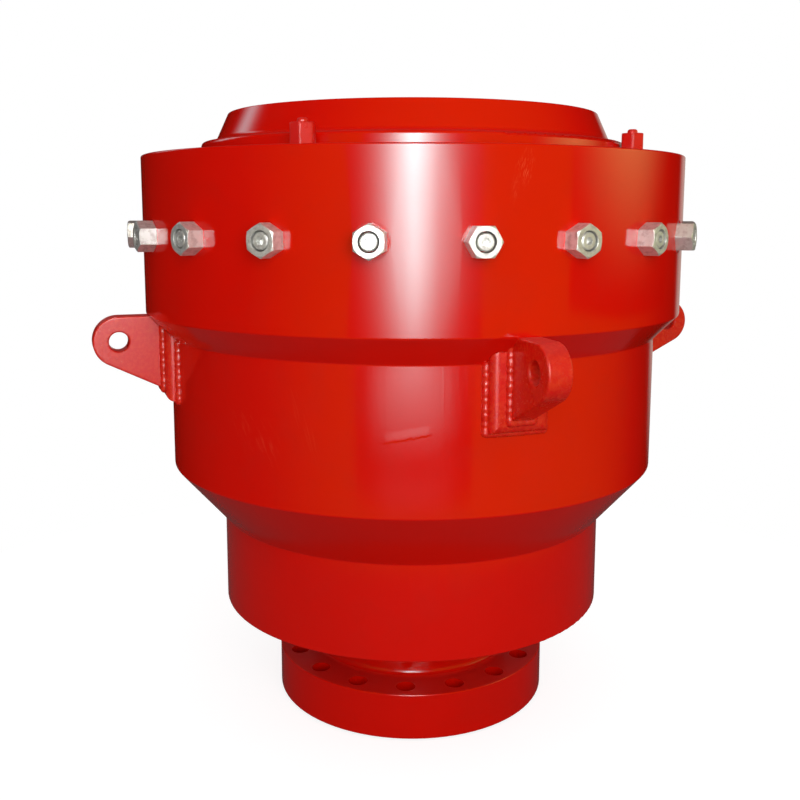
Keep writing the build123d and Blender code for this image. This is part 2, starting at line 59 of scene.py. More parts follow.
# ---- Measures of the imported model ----


@dataclass(frozen=True)
class Measures:
    """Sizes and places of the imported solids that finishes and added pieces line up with, in metres."""

    body_top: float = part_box("body")[1].z
    head_top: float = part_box("head")[1].z
    lug_bottom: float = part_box("lifting_lug_3")[0].z
    lug_top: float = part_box("lifting_lug_3")[1].z
    lug_half_width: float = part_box("lifting_lug_3")[1].y
    middle_radius: float = 0.587
    middle_top: float = 0.915
    cast_bottom: float = 0.13
    cast_top: float = 0.972
    machined_radius: float = 0.2290
    stud_hole_mouth: float = 0.0196

    @staticmethod
    def mount(name: str) -> dict:
        """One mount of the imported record.

        Args:
            name: The mount's name.

        Returns:
            The mount as the record holds it.
        """
        return next(mount for mount in frame["record"]["mounts"] if mount["name"] == name)


MEASURES = Measures()


# ---- Node trees ----


class Graph:
    """Short words for building one node tree."""

    def __init__(self, tree: NodeTree) -> None:
        """Keep the tree that the calls add to."""
        self.tree = tree

    def add(self, kind: str, **settings: object) -> Node:
        """Add a node.

        Args:
            kind: The node's type name, without the ShaderNode in front.
            settings: Properties of the node by name.

        Returns:
            The new node.
        """
        node = self.tree.nodes.new("ShaderNode" + kind)
        for name, value in settings.items():
            setattr(node, name, value)
        return node

    def feed(self, socket: NodeSocket, value: object) -> None:
        """Link a socket to another, or set its constant."""
        if isinstance(value, NodeSocket):
            self.tree.links.new(value, socket)
        else:
            socket.default_value = value

    def math(self, operation: str, *values: Value, clamp: bool = False) -> NodeSocket:
        """A Math node's result.

        Args:
            operation: The operation's name, such as MULTIPLY.
            values: One to three numbers or sockets.
            clamp: Whether the result is held between 0 and 1.

        Returns:
            The result's socket.
        """
        node = self.add("Math", operation=operation, use_clamp=clamp)
        for socket, value in zip(node.inputs, values):
            self.feed(socket, value)
        return node.outputs[0]

    def rise(self, value: Value, low: float, high: float, smooth: bool = True) -> NodeSocket:
        """A value mapped to 0 at low and 1 at high.

        Args:
            value: The value.
            low: Where the result is 0. It may be above high.
            high: Where the result is 1.
            smooth: Whether the ends ease in and out.

        Returns:
            The mapped value's socket.
        """
        node = self.add("MapRange", interpolation_type="SMOOTHSTEP" if smooth else "LINEAR")
        self.feed(node.inputs["Value"], value)
        node.inputs["From Min"].default_value = low
        node.inputs["From Max"].default_value = high
        return node.outputs["Result"]

    def product(self, first: Value, *others: Value) -> NodeSocket:
        """The product of two or more values."""
        for other in others:
            first = self.math("MULTIPLY", first, other)
        return first

    def total(self, first: Value, *others: Value) -> NodeSocket:
        """The sum of two or more values."""
        for other in others:
            first = self.math("ADD", first, other)
        return first

    def squares(self, *values: Value) -> NodeSocket:
        """The sum of the squares of some values."""
        return self.total(*(self.product(value, value) for value in values))

    def blend(self, first: Value, second: Value, base: Value) -> NodeSocket:
        """The product of two values, added to a base."""
        return self.math("MULTIPLY_ADD", first, second, base)

    def noise(
        self, vector: NodeSocket, scale: Value, detail: float = 2.0, roughness: float = 0.5
    ) -> NodeSocket:
        """Fractal noise between 0 and 1.

        Args:
            vector: The coordinates.
            scale: Waves per unit of the coordinates.
            detail: Octaves.
            roughness: How strong the fine octaves are.

        Returns:
            The noise's socket.
        """
        node = self.add("TexNoise")
        self.feed(node.inputs["Vector"], vector)
        self.feed(node.inputs["Scale"], scale)
        node.inputs["Detail"].default_value = detail
        node.inputs["Roughness"].default_value = roughness
        return node.outputs["Fac"]

    def mix(self, factor: Value, first: object, second: object) -> NodeSocket:
        """A colour between two colours.

        Args:
            factor: 0 for the first colour, 1 for the second.
            first: A colour or socket.
            second: A colour or socket.

        Returns:
            The mixed colour's socket.
        """
        node = self.add("Mix", data_type="RGBA")
        self.feed(node.inputs[0], factor)
        for socket, value in zip(node.inputs[6:8], (first, second)):
            self.feed(socket, value if isinstance(value, NodeSocket) else (*value, 1.0))
        return node.outputs[2]

    def combine(self, x: Value, y: Value, z: Value) -> NodeSocket:
        """A vector of three values."""
        node = self.add("CombineXYZ")
        for socket, value in zip(node.inputs, (x, y, z)):
            self.feed(socket, value)
        return node.outputs[0]

    def split(self, vector: NodeSocket) -> list[NodeSocket]:
        """The three parts of a vector."""
        node = self.add("SeparateXYZ")
        self.feed(node.inputs[0], vector)
        return list(node.outputs)

    def scaled(self, vector: NodeSocket, scale: tuple[float, float, float]) -> NodeSocket:
        """A vector with each part multiplied."""
        node = self.add("Mapping")
        self.feed(node.inputs["Vector"], vector)
        node.inputs["Scale"].default_value = scale
        return node.outputs[0]

    def effect(self, group: NodeTree, **values: object) -> Node:
        """Place a shared effect.

        Args:
            group: The effect's node group.
            values: Its inputs by name in any case, with underscores for spaces.

        Returns:
            The group's node.
        """
        node = self.add("Group", node_tree=group)
        for name, value in values.items():
            self.feed(node.inputs[name.replace("_", " ").title()], value)
        return node

    def bump(self, height: NodeSocket, edge_round: float = 0.0) -> NodeSocket:
        """The normal that a height gives.

        Args:
            height: The height in metres.
            edge_round: Radius in metres by which edges look rounded under it.

        Returns:
            The normal's socket.
        """
        node = self.add("Bump")
        node.inputs["Strength"].default_value = 1.0
        node.inputs["Distance"].default_value = 1.0
        self.feed(node.inputs["Height"], height)
        if edge_round:
            self.feed(node.inputs["Normal"], self.rounded(edge_round))
        return node.outputs[0]

    def rounded(self, radius: float) -> NodeSocket:
        """The normal of the surface with its edges rounded by a radius in metres."""
        node = self.add("Bevel", samples=BEVEL_SAMPLES)
        node.inputs["Radius"].default_value = radius
        return node.outputs[0]


class Port(Enum):
    """Kinds of socket on a shared effect."""

    NUMBER = "NodeSocketFloat"
    PLACE = "NodeSocketVector"


class Effects:
    """Shared effects as node groups, each built once, when it is first asked for."""

    worn_radius = 0.0016

    @staticmethod
    def start(name: str, inputs: tuple[str, ...], outputs: tuple[str, ...]) -> tuple[Graph, dict, dict]:
        """Open a new group.

        Args:
            name: The group's name.
            inputs: Names of its inputs, which are numbers apart from Place.
            outputs: Names of its outputs, all numbers.

        Returns:
            Its graph, its input sockets and its output sockets, by name.
        """
        tree = bpy.data.node_groups.new(name, "ShaderNodeTree")
        for label in inputs:
            port = Port.PLACE if label == "Place" else Port.NUMBER
            tree.interface.new_socket(name=label, in_out="INPUT", socket_type=port.value)
        for label in outputs:
            tree.interface.new_socket(name=label, in_out="OUTPUT", socket_type=Port.NUMBER.value)
        entry = tree.nodes.new("NodeGroupInput")
        leave = tree.nodes.new("NodeGroupOutput")
        sources = {label: entry.outputs[label] for label in inputs}
        targets = {label: leave.inputs[label] for label in outputs}
        return Graph(tree), sources, targets

    @cached_property
    def cylinder(self) -> NodeTree:
        """Radius, height and angle in radians about the well bore, from object coordinates."""
        graph, source, target = self.start("CylinderPlace", ("Place",), ("Radius", "Height", "Angle"))
        x, y, z = graph.split(source["Place"])
        graph.feed(target["Radius"], graph.math("SQRT", graph.squares(x, y)))
        graph.feed(target["Height"], z)
        graph.feed(target["Angle"], graph.math("ARCTAN2", y, x))
        return graph.tree

    @cached_property
    def relief(self) -> NodeTree:
        """Height in metres of sprayed paint: fine orange peel, slow waves, upright ripples and proud nibs."""
        inputs = ("Place", "Peel", "Wave", "Ripple", "Nib")
        graph, source, target = self.start("PaintRelief", inputs, ("Height",))
        peel = graph.product(graph.noise(source["Place"], 190.0, 2.0, 0.6), source["Peel"])
        wave = graph.product(graph.noise(source["Place"], 34.0, 3.0), source["Wave"])
        upright = graph.noise(graph.scaled(source["Place"], (1.0, 1.0, 0.16)), 95.0, 2.0)
        ripple = graph.product(upright, source["Ripple"])
        cells = graph.add("TexVoronoi", feature="F1")
        graph.feed(cells.inputs["Vector"], source["Place"])
        cells.inputs["Scale"].default_value = 75.0
        bump = graph.rise(cells.outputs["Distance"], 0.22, 0.05)
        some = graph.rise(graph.noise(source["Place"], 21.0, 1.0), 0.52, 0.62)
        nib = graph.product(bump, some, source["Nib"])
        graph.feed(target["Height"], graph.total(peel, ripple, wave, nib))
        return graph.tree

    @cached_property
    def runs(self) -> NodeTree:
        """Height in metres of paint that sagged: lines drawn out down the wall."""
        inputs = ("Place", "Angle", "Depth")
        graph, source, target = self.start("PaintRuns", inputs, ("Height",))
        height = graph.split(source["Place"])[2]
        wall = graph.combine(graph.product(source["Angle"], 30.0), graph.product(height, 2.2), 0.0)
        drawn = graph.rise(graph.noise(wall, 1.6, 3.0, 0.6), 0.5, 0.8)
        graph.feed(target["Height"], graph.product(drawn, source["Depth"]))
        return graph.tree

    @cached_property
    def sag(self) -> NodeTree:
        """Height in metres of one curtain of paint that slid down a wall and set as a ragged ridge."""
        inputs = ("Angle", "Height", "Centre Angle", "Centre Height", "Half Angle", "Slope", "Depth")
        graph, source, target = self.start("PaintSag", inputs, ("Height",))
        across = graph.math("SUBTRACT", source["Angle"], source["Centre Angle"])
        side = graph.math("DIVIDE", graph.math("ABSOLUTE", across), source["Half Angle"])
        wall = graph.combine(graph.product(source["Angle"], 40.0), 0.0, 0.0)
        ragged = graph.blend(graph.noise(wall, 1.3, 5.0, 0.7), 0.016, -0.008)
        edge = graph.blend(across, source["Slope"], ragged)
        over = graph.math("SUBTRACT", graph.math("SUBTRACT", source["Height"], source["Centre Height"]), edge)
        lip = graph.product(graph.rise(over, -0.0035, 0.0015), graph.rise(over, 0.022, 0.0015))
        inside = graph.product(lip, graph.rise(side, 1.0, 0.75))
        graph.feed(target["Height"], graph.product(inside, source["Depth"]))
        return graph.tree

    @cached_property
    def scuff(self) -> NodeTree:
        """Mask of a rubbed patch of slanting strokes round a centre on the wall."""
        inputs = ("Angle", "Height", "Centre Angle", "Centre Height", "Half Angle", "Half Height")
        inputs += ("Lean", "Fineness")
        graph, source, target = self.start("ScuffPatch", inputs, ("Mask",))
        across = graph.math("SUBTRACT", source["Angle"], source["Centre Angle"])
        up = graph.math("SUBTRACT", source["Height"], source["Centre Height"])
        leant = graph.math("SUBTRACT", across, graph.product(up, source["Lean"]))
        side = graph.math("DIVIDE", leant, source["Half Angle"])
        rise = graph.math("DIVIDE", up, source["Half Height"])
        patch = graph.rise(graph.squares(side, rise), 1.0, 0.1)
        stretch = graph.combine(graph.product(side, 3.0), graph.product(rise, 0.7), 0.0)
        strokes = graph.rise(graph.noise(stretch, source["Fineness"], 4.0, 0.65), 0.52, 0.66)
        graph.feed(target["Mask"], graph.product(patch, strokes))
        return graph.tree

    @cached_property
    def bolt_holes(self) -> NodeTree:
        """Mask of a circle of equal holes about the well bore."""
        inputs = ("Radius", "Angle", "Circle", "Hole", "Step")
        graph, source, target = self.start("BoltHoles", inputs, ("Mask",))
        half = graph.product(source["Step"], 0.5)
        turned = graph.math("FLOORED_MODULO", graph.total(source["Angle"], half), source["Step"])
        local = graph.math("SUBTRACT", turned, half)
        along = graph.product(source["Radius"], graph.math("COSINE", local))
        along = graph.math("SUBTRACT", along, source["Circle"])
        across = graph.product(source["Radius"], graph.math("SINE", local))
        distance = graph.math("SQRT", graph.squares(along, across))
        graph.feed(target["Mask"], graph.math("LESS_THAN", distance, source["Hole"]))
        return graph.tree

    @cached_property
    def grime(self) -> NodeTree:
        """Mask of dust and shop dirt: thick on faces that look up, in blotches elsewhere."""
        inputs = ("Place", "Upward", "Amount")
        graph, source, target = self.start("Grime", inputs, ("Mask",))
        blotch = graph.rise(graph.noise(source["Place"], 9.0, 5.0, 0.62), 0.46, 0.72)
        speck = graph.rise(graph.noise(source["Place"], 160.0, 2.0), 0.55, 0.75)
        settled = graph.rise(source["Upward"], 0.35, 0.95)
        mask = graph.total(graph.product(blotch, 0.5), graph.product(speck, 0.3), graph.product(settled, 0.5))
        graph.feed(target["Mask"], graph.math("MULTIPLY", mask, source["Amount"], clamp=True))
        return graph.tree

    @cached_property
    def edges(self) -> NodeTree:
        """Mask of sharp edges, broken up along their length."""
        inputs = ("Place", "Breakup")
        graph, source, target = self.start("EdgeWear", inputs, ("Mask",))
        same = graph.add("VectorMath", operation="DOT_PRODUCT")
        graph.feed(same.inputs[0], graph.rounded(self.worn_radius))
        graph.feed(same.inputs[1], graph.add("NewGeometry").outputs["Normal"])
        edge = graph.rise(same.outputs["Value"], 0.995, 0.93)
        broken = graph.rise(graph.noise(source["Place"], source["Breakup"], 3.0), 0.38, 0.6)
        graph.feed(target["Mask"], graph.product(edge, broken))
        return graph.tree


# ---- Finishes ----


class Surface:
    """A material that is being made: its graph, its shader and where a point lies on the piece."""

    def __init__(self, name: str, effects: Effects) -> None:
        """Start a material with an empty surface."""
        self.material = bpy.data.materials.new(name)
        self.material.use_nodes = True
        self.effects = effects
        self.graph = Graph(self.material.node_tree)
        self.place = self.graph.add("TexCoord").outputs["Object"]

    @cached_property
    def where(self) -> dict[str, NodeSocket]:
        """Radius, height and angle about the well bore."""
        placed = self.graph.effect(self.effects.cylinder, Place=self.place)
        return {socket.name: socket for socket in placed.outputs}

    @cached_property
    def upward(self) -> NodeSocket:
        """The upward part of the normal."""
        return self.graph.split(self.graph.add("NewGeometry").outputs["Normal"])[2]

    def mark(self, effect: NodeTree, **values: object) -> NodeSocket:
        """The first output of a shared effect."""
        return self.graph.effect(effect, **values).outputs[0]

    def grime(self, amount: float) -> NodeSocket:
        """Mask of an amount of dust and dirt."""
        return self.mark(self.effects.grime, Place=self.place, Upward=self.upward, Amount=amount)

    def finish(
        self,
        colour: NodeSocket,
        rough: NodeSocket,
        normal: NodeSocket,
        metal: Value,
        tint: Colour | NodeSocket = WHITE,
    ) -> Material:
        """Feed the shader.

        Args:
            colour: Base colour.
            rough: Roughness.
            normal: The bumped normal.
            metal: How metallic the surface is.
            tint: Colour of the gloss.

        Returns:
            The finished material.
        """
        shader = self.material.node_tree.nodes["Principled BSDF"]
        gloss = tint if isinstance(tint, NodeSocket) else (*tint, 1.0)
        values = {"Base Color": colour, "Roughness": rough, "Normal": normal, "Metallic": metal}
        for name, value in (values | {"Specular Tint": gloss}).items():
            self.graph.feed(shader.inputs[name], value)
        return self.material


@dataclass(frozen=True)
class Scuff:
    """A rubbed patch of paint on a wall. Angles are in radians about the well bore, lengths in metres."""

    centre_angle: float
    centre_height: float
    half_angle: float
    half_height: float
    lean: float
    fineness: float
    strength: float


@dataclass(frozen=True)
class Sag:
    """A curtain of paint that slid down a wall. Angles are in radians, lengths in metres."""

    centre_angle: float
    centre_height: float
    half_angle: float
    slope: float
    depth: float


@dataclass(frozen=True)
class Finish:
    """A finish that can be made into a material."""

    name: str

    def build(self, effects: Effects) -> Material:
        """Make the material.

        Args:
            effects: The shared effects.

        Returns:
            The finished material.
        """
        return self.cover(Surface(self.name, effects))

    def cover(self, on: Surface) -> Material:
        """Lay the finish on a new surface, which each finish does in its own way."""
        raise NotImplementedError


@dataclass(frozen=True)
class BareSteel(Finish):
    """Turned steel with no paint, lightly oiled."""

    name: str = "turned_steel"
    colour: Colour = (0.42, 0.40, 0.37)
    stain: Colour = (0.16, 0.11, 0.075)
    roughness: float = 0.34
    groove: float = 0.000006

    def colours(self, on: Surface) -> NodeSocket:
        """Colour of the bare steel over a surface."""
        stain = on.graph.rise(on.graph.noise(on.place, 24.0, 5.0, 0.62), 0.52, 0.74)
        return on.graph.mix(stain, self.colour, self.stain)

    def marks(self, on: Surface) -> NodeSocket:
        """Height in metres of the turning marks."""
        turned = on.graph.combine(on.where["Radius"], on.where["Height"], 0.0)
        return on.graph.product(on.graph.noise(turned, 900.0, 1.0), self.groove)

    def cover(self, on: Surface) -> Material:
        """Lay the steel on a new surface."""
        rough = on.graph.blend(on.graph.noise(on.place, 40.0, 4.0), 0.25, self.roughness - 0.1)
        return on.finish(self.colours(on), rough, on.graph.bump(self.marks(on)), 1.0)


@dataclass(frozen=True)
class RedPaint(Finish):
    """Glossy red machine paint, with bare turned steel where the piece is machined."""

    colour: Colour = (0.70, 0.0042, 0.0003)
    shade: Colour = (0.63, 0.0036, 0.0003)
    rubbed: Colour = (0.80, 0.085, 0.035)
    dirt: Colour = (0.36, 0.012, 0.003)
    mottle: Colour = (0.78, 0.055, 0.012)
    mottled: float = 0.0
    roughness: float = 0.09
    cast_roughness: float = 0.13
    dirt_roughness: float = 0.30
    bare_roughness: float = 0.18
    dusty: float = 0.30
    gloss_tint: Colour = (0.4, 1.0, 1.0)
    smooth_peel: float = 0.000002
    cast_peel: float = 0.00006
    cast_from: float = 0.0
    cast_to: float = 0.0
    cast_fade: float = 0.004
    wave: float = 0.00003
    ripple: float = 0.0
    nib: float = 0.00003
    edge_round: float = 0.0
    run_depth: float = 0.0
    grime: float = 0.16
    machined: bool = False
    holes: float = 0.0
    scuffs: tuple[Scuff, ...] = field(default_factory=tuple)
    sags: tuple[Sag, ...] = field(default_factory=tuple)
    steel: BareSteel = BareSteel()

    def cast(self, on: Surface) -> Value:
        """How rough the casting under the paint is, from 0 to 1."""
        if self.cast_to <= self.cast_from:
            return 0.0
        height, fade = on.where["Height"], self.cast_fade
        above = on.graph.rise(height, self.cast_from - fade, self.cast_from + fade)
        below = on.graph.rise(height, self.cast_to + fade, self.cast_to - fade)
        return on.graph.product(above, below)

    def bare(self, on: Surface) -> Value:
        """Mask of what is left unpainted, or plain 0 where all is painted."""
        mask: Value = 0.0
        if self.machined:
            mask = on.graph.math("LESS_THAN", on.where["Radius"], MEASURES.machined_radius)
        if self.holes:
            pattern = MEASURES.mount("top_stud_holes")["dims"]
            inside = on.mark(
                on.effects.bolt_holes,
                Radius=on.where["Radius"],
                Angle=on.where["Angle"],
                Circle=pattern["pcd_mm"] / 2000,
                Hole=self.holes,
                Step=math.tau / pattern["count"],
            )
            mask = on.graph.math("MAXIMUM", mask, inside)
        return mask

    def colours(self, on: Surface, dirt: NodeSocket) -> NodeSocket:
        """Colour of the paint with its dirt, spots and scuffs."""
        graph = on.graph
        colour = graph.mix(graph.noise(on.place, 5.0, 4.0), self.colour, self.shade)
        colour = graph.mix(dirt, colour, self.dirt)
        if self.mottled:
            spots = graph.rise(graph.noise(on.place, 120.0, 4.0, 0.7), 0.42, 0.62)
            colour = graph.mix(graph.product(spots, self.mottled), colour, self.mottle)
        for scuff in self.scuffs:
            patch = asdict(scuff)
            strength = patch.pop("strength")
            mask = on.mark(on.effects.scuff, Angle=on.where["Angle"], Height=on.where["Height"], **patch)
            colour = graph.mix(graph.product(mask, strength), colour, self.rubbed)
        return colour

    def relief(self, on: Surface, cast: Value) -> NodeSocket:
        """Height in metres of the paint's peel, waves, nibs, runs and sags."""
        graph = on.graph
        height = on.mark(
            on.effects.relief,
            Place=on.place,
            Peel=graph.blend(cast, self.cast_peel - self.smooth_peel, self.smooth_peel),
            Wave=graph.blend(cast, self.wave * 0.8, self.wave * 0.2),
            Ripple=graph.product(cast, self.ripple),
            Nib=graph.product(cast, self.nib),
        )
        if self.run_depth:
            depth = graph.product(cast, self.run_depth)
            runs = on.mark(on.effects.runs, Place=on.place, Angle=on.where["Angle"], Depth=depth)
            height = graph.total(height, runs)
        for sag in self.sags:
            wall = {name: on.where[name] for name in ("Angle", "Height")}
            height = graph.total(height, on.mark(on.effects.sag, **wall, **asdict(sag)))
        return height

    def cover(self, on: Surface) -> Material:
        """Lay the paint on a new surface."""
        graph = on.graph
        dirt, cast, bare = on.grime(self.grime), self.cast(on), self.bare(on)
        colour, relief, tint = self.colours(on, dirt), self.relief(on, cast), self.gloss_tint
        rough = graph.blend(graph.noise(on.place, 17.0, 4.0), 0.06, self.roughness - 0.03)
        rough = graph.blend(cast, self.cast_roughness - self.roughness, rough)
        rough = graph.blend(dirt, self.dirt_roughness, rough)
        rough = graph.blend(graph.rise(on.upward, 0.6, 1.0), self.dusty, rough)
        if isinstance(bare, NodeSocket):
            colour = graph.mix(bare, colour, self.steel.colours(on))
            relief = graph.total(relief, graph.product(bare, self.steel.marks(on)))
            rough = graph.blend(bare, self.bare_roughness, rough)
            tint = graph.mix(bare, tint, WHITE)
        return on.finish(colour, rough, graph.bump(relief, self.edge_round), bare, tint)


@dataclass(frozen=True)
class PlatedSteel(Finish):
    """Zinc plate on nuts and screws: pale, satin, with bright worn corners and dull stains."""

    name: str = "plated_steel"
    colour: Colour = (0.72, 0.73, 0.70)
    dull: Colour = (0.46, 0.43, 0.40)
    worn: Colour = (0.92, 0.91, 0.88)
    roughness: float = 0.38
    edge_round: float = 0.0012
    grain: float = 0.00002

    def cover(self, on: Surface) -> Material:
        """Lay the plate on a new surface."""
        graph = on.graph
        stain = graph.rise(graph.noise(on.place, 70.0, 4.0, 0.6), 0.42, 0.72)
        worn = on.mark(on.effects.edges, Place=on.place, Breakup=120.0)
        colour = graph.mix(worn, graph.mix(stain, self.colour, self.dull), self.worn)
        rough = graph.blend(graph.noise(on.place, 90.0, 4.0), 0.22, self.roughness - 0.1)
        rough = graph.blend(worn, -0.08, rough)
        normal = graph.bump(graph.product(graph.noise(on.place, 700.0), self.grain), self.edge_round)
        return on.finish(colour, rough, normal, graph.blend(stain, -0.2, 0.7))


@dataclass(frozen=True)
class BlackRubber(Finish):
    """Moulded oil-resistant rubber, matt, with pale dust and faint mould marks."""

    name: str = "black_rubber"
    colour: Colour = (0.018, 0.018, 0.019)
    bloom: Colour = (0.075, 0.072, 0.066)
    roughness: float = 0.62
    grain: float = 0.00008

    def cover(self, on: Surface) -> Material:
        """Lay the rubber on a new surface."""
        dust = on.grime(0.8)
        rough = on.graph.blend(dust, 0.2, self.roughness)
        normal = on.graph.bump(on.graph.product(on.graph.noise(on.place, 320.0, 3.0), self.grain))
        return on.finish(on.graph.mix(dust, self.colour, self.bloom), rough, normal, 0.0)


# ---- Modelling by hand ----


def select_only(piece: Object) -> None:
    """Leave one object selected and active."""
    bpy.ops.object.select_all(action="DESELECT")
    piece.select_set(True)
    bpy.context.view_layer.objects.active = piece


def settle(piece: Object, name: str) -> Object:
    """Put a finished piece's place into its mesh and name it.

    Args:
        piece: The object.
        name: Its final name.

    Returns:
        The same object.
    """
    select_only(piece)
    bpy.ops.object.transform_apply(location=True, rotation=True, scale=True)
    piece.name = name
    piece.data.name = name
    return piece


def finish_with(piece: Object, kind: str, **settings: object) -> None:
    """Add one modifier to a piece and apply it.

    Args:
        piece: The object.
        kind: The modifier's type.
        settings: Its properties by name.
    """
    select_only(piece)
    bpy.ops.object.modifier_add(type=kind)
    modifier = piece.modifiers[-1]
    for name, value in settings.items():
        setattr(modifier, name, value)
    bpy.ops.object.modifier_apply(modifier=modifier.name)


def copy_of(piece: Object, name: str, place: Matrix) -> Object:
    """A copy of a piece with its own mesh, moved and settled.

    Args:
        piece: The object to copy.
        name: The copy's name.
        place: Where the copy goes from the piece's own place.

    Returns:
        The copy.
    """
    select_only(piece)
    bpy.ops.object.duplicate(linked=False)
    twin = bpy.context.view_layer.objects.active
    twin.matrix_world = place @ piece.matrix_world
    return settle(twin, name)


def dress(piece: Object, material: Material) -> None:
    """Give a new piece its material and body.

    Args:
        piece: The object.
        material: Its finish.
    """
    piece.data.materials.clear()
    piece.data.materials.append(material)
    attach(piece, ROOT)
    log.info("%s: %d faces", piece.name, len(piece.data.polygons))


# ---- Sub-assemblies ----


@dataclass
class LugWelds:
    """Hand-laid weld beads round each lifting lug: plate to pad, and pad to body."""

    material: Material
    ripple_radius: float = 0.0095
    ripple_length: float = 0.0080
    pitch: float = 0.0060
    plate_half: float = 0.025
    pad_reach: float = 0.612
    foot_height: float = 0.803
    plate_gap: float = 0.002
    ledge_gap: float = 0.004
    pad_steps: int = 8
    grain: float = 0.0016
    smoothing: int = 9

    def ripples(self, start: Vector, end: Vector) -> None:
        """Lay overlapping ripples from one point to another, in edit mode.

        Args:
            start: Where the bead starts.
            end: Where it ends.
        """
        travel = end - start
        turn = travel.to_track_quat("Z", "Y").to_euler()
        count = max(2, round(travel.length / self.pitch))
        for index in range(count + 1):
            swell = 1 + 0.07 * math.sin(index * 2.4) + 0.05 * math.sin(index * 0.9)
            bpy.ops.mesh.primitive_uv_sphere_add(
                segments=12,
                ring_count=8,
                radius=1.0,
                location=start + travel * index / count,
                rotation=turn,
                scale=(self.ripple_radius * swell, self.ripple_radius * swell, self.ripple_length),
            )

    def bead(self, name: str, path: list[Vector]) -> Object:
        """One bead along a path of straight stretches, fused into one skin.

        Args:
            name: The bead's name.
            path: The points that it passes.

        Returns:
            The bead.
        """
        bpy.ops.object.select_all(action="DESELECT")
        bpy.ops.mesh.primitive_uv_sphere_add(
            segments=12, ring_count=8, radius=self.ripple_radius, location=path[0]
        )
        piece = bpy.context.view_layer.objects.active
        bpy.ops.object.transform_apply(location=True, rotation=True, scale=True)
        bpy.ops.object.mode_set(mode="EDIT")
        for start, end in zip(path, path[1:]):
            self.ripples(start, end)
        bpy.ops.object.mode_set(mode="OBJECT")
        finish_with(piece, "REMESH", mode="VOXEL", voxel_size=self.grain)
        finish_with(piece, "SMOOTH", factor=0.5, iterations=self.smoothing)
        bpy.ops.object.shade_smooth()
        return settle(piece, name)

    def plate_path(self) -> list[Vector]:
        """Down one side of the plate, under its foot and up the other, for the lug along +X."""
        top = MEASURES.lug_top - self.plate_gap
        corners = ((-1, top), (-1, self.foot_height), (1, self.foot_height), (1, top))
        return [Vector((self.pad_reach, side * self.plate_half, height)) for side, height in corners]

    def pad_path(self) -> list[Vector]:
        """Down one side of the pad, under it and up the other, along the body's wall."""
        half = MEASURES.lug_half_width
        side = math.sqrt(MEASURES.middle_radius**2 - half**2)
        top = MEASURES.middle_top - self.ledge_gap
        path = [Vector((side, -half, top))]
        for index in range(self.pad_steps + 1):
            across = half * (2 * index / self.pad_steps - 1)
            out = math.sqrt(MEASURES.middle_radius**2 - across**2)
            path.append(Vector((out, across, MEASURES.lug_bottom)))
        path.append(Vector((side, half, top)))
        return path

    def build(self) -> list[Object]:
        """Model the beads of one lug, copy them round the body and dress them.

        Returns:
            The new pieces.
        """
        paths = {"lug_plate_weld": self.plate_path(), "lug_pad_weld": self.pad_path()}
        patterns = {name: self.bead(name, path) for name, path in paths.items()}
        pieces = []
        for index in range(1, 5):
            eye = MEASURES.mount(f"lug_eye_{index}")["pos_m"]
            turn = Matrix.Rotation(math.atan2(eye[1], eye[0]), 4, "Z")
            for name, pattern in patterns.items():
                pieces.append(copy_of(pattern, f"{name}_{index}", turn))
        for pattern in patterns.values():
            bpy.data.objects.remove(pattern)
        for piece in pieces:
            dress(piece, self.material)
        return pieces


@dataclass
class StudThreads:
    """Threads in the tapped holes on top of the head."""

    material: Material
    pitch: float = 0.003175
    turns: int = 14
    steps: int = 20
    ridge: float = 0.0012
    lead_in: float = 0.004

    def thread(self, name: str, radius: float) -> Object:
        """One helical ridge that stands inwards from a hole's wall.

        Args:
            name: The thread's name.
            radius: The hole's radius.

        Returns:
            The thread, about the world's axis, with its top at zero.
        """
        bpy.ops.object.select_all(action="DESELECT")
        bpy.ops.mesh.primitive_circle_add(vertices=3, radius=self.ridge, fill_type="NOTHING")
        piece = bpy.context.view_layer.objects.active
        piece.rotation_euler = Euler((math.pi / 2, 0, 0))
        bpy.ops.object.transform_apply(location=False, rotation=True, scale=False)
        piece.location = (radius - self.ridge * 0.4, 0, -self.lead_in - self.pitch * self.turns)
        bpy.ops.object.transform_apply(location=True, rotation=False, scale=False)
        finish_with(
            piece,
            "SCREW",
            axis="Z",
            angle=math.tau,
            screw_offset=self.pitch,
            iterations=self.turns,
            steps=self.steps,
            render_steps=self.steps,
            use_merge_vertices=False,
        )
        bpy.ops.object.mode_set(mode="EDIT")
        bpy.ops.mesh.select_all(action="SELECT")
        bpy.ops.mesh.fill_holes(sides=3)
        bpy.ops.mesh.select_all(action="SELECT")
        bpy.ops.mesh.normals_make_consistent(inside=False)
        bpy.ops.object.mode_set(mode="OBJECT")
        piece.name = name
        return piece

    def build(self) -> list[Object]:
        """Thread every tapped hole and join the threads into one piece.

        Returns:
            The new pieces.
        """
        holes = MEASURES.mount("top_stud_holes")["dims"]
        first = self.thread("stud_thread", holes["hole_r_mm"] / 1000)
        circle = holes["pcd_mm"] / 2000
        copies = []
        for index in range(holes["count"]):
            turn = Matrix.Rotation(math.tau * index / holes["count"], 4, "Z")
            place = turn @ Matrix.Translation((circle, 0, MEASURES.head_top))
            copies.append(copy_of(first, f"stud_thread_{index}", place))
        bpy.data.objects.remove(first)
        select_only(copies[0])
        for piece in copies:
            piece.select_set(True)
        bpy.ops.object.join()
        joined = settle(copies[0], "stud_hole_threads")
        bpy.ops.object.shade_smooth_by_angle(angle=math.radians(40))
        dress(joined, self.material)
        return [joined]


